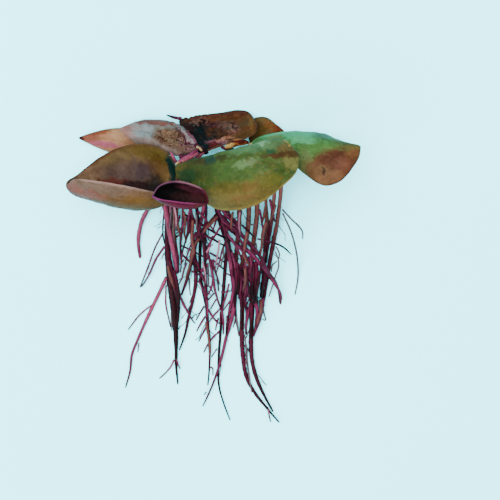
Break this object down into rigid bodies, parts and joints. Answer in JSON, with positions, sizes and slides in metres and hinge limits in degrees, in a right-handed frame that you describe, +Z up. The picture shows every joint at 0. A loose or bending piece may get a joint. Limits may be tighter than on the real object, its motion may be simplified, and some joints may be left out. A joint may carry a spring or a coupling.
{
  "type": "red root floater",
  "caption": "Floating water plant picked and laid down: a rosette of cupped leaves on a short stem, with a trailing beard of red roots.",
  "frame": {"origin": "on the surface that the plant lies on, at the middle of its bounding box in X and Y", "axes": "+Z up from the surface that the plant lies on, +Y towards the top of the leaf rosette, -Y the way the roots trail, +X to the right of a viewer who looks down on it with the rosette at the top"},
  "size_m": [0.0516, 0.0612, 0.02],
  "materials": {
    "leaf_back_brown": "satin",
    "leaf_back_orange": "satin",
    "leaf_back_pink": "satin",
    "leaf_far_left": "satin",
    "leaf_front_green": "satin",
    "leaf_front_left": "satin",
    "leaf_front_young": "satin",
    "leaf_right": "satin",
    "leaf_rolled": "satin",
    "root": "satin",
    "leaf_stalk": "satin",
    "stem": "satin"
  },
  "bodies": {
    "root": {"leaf_back_brown": "leaf_back_brown", "leaf_back_orange": "leaf_back_orange", "leaf_back_pink": "leaf_back_pink", "leaf_far_left": "leaf_far_left", "leaf_front_green": "leaf_front_green", "leaf_front_left": "leaf_front_left", "leaf_front_young": "leaf_front_young", "leaf_right": "leaf_right", "leaf_rolled": "leaf_rolled", "root_brown_slant": "root", "root_centre_black": "root", "root_centre_dark": "root", "root_centre_left": "root", "root_centre_maroon": "root", "root_centre_slant": "root", "root_centre_thick": "root", "root_far_right": "root", "root_far_right_twin": "root", "root_left_brown": "root", "root_left_fork": "root", "root_left_long": "root", "root_left_long_side": "root", "root_left_main": "root", "root_left_outer": "root", "root_left_pink": "root", "root_left_purple": "root", "root_left_side_lower": "root", "root_left_side_upper": "root", "root_left_thin": "root", "root_left_twig": "root", "root_purple_centre": "root", "root_purple_left": "root", "root_right_brown": "root", "root_right_brown_long": "root", "root_right_curl": "root", "root_right_curl_long": "root", "root_right_dark": "root", "root_right_fork": "root", "root_right_light": "root", "root_right_long": "root", "root_right_pink": "root", "root_right_side": "root", "root_right_sprig": "root", "root_slant_black": "root", "root_slant_low": "root", "root_slant_purple": "root", "stalk_back_brown": "leaf_stalk", "stalk_back_orange": "leaf_stalk", "stalk_back_pink": "leaf_stalk", "stalk_far_left": "leaf_stalk", "stalk_front_young": "leaf_stalk", "stalk_right": "leaf_stalk", "stem": "stem"}
  },
  "joints": []
}
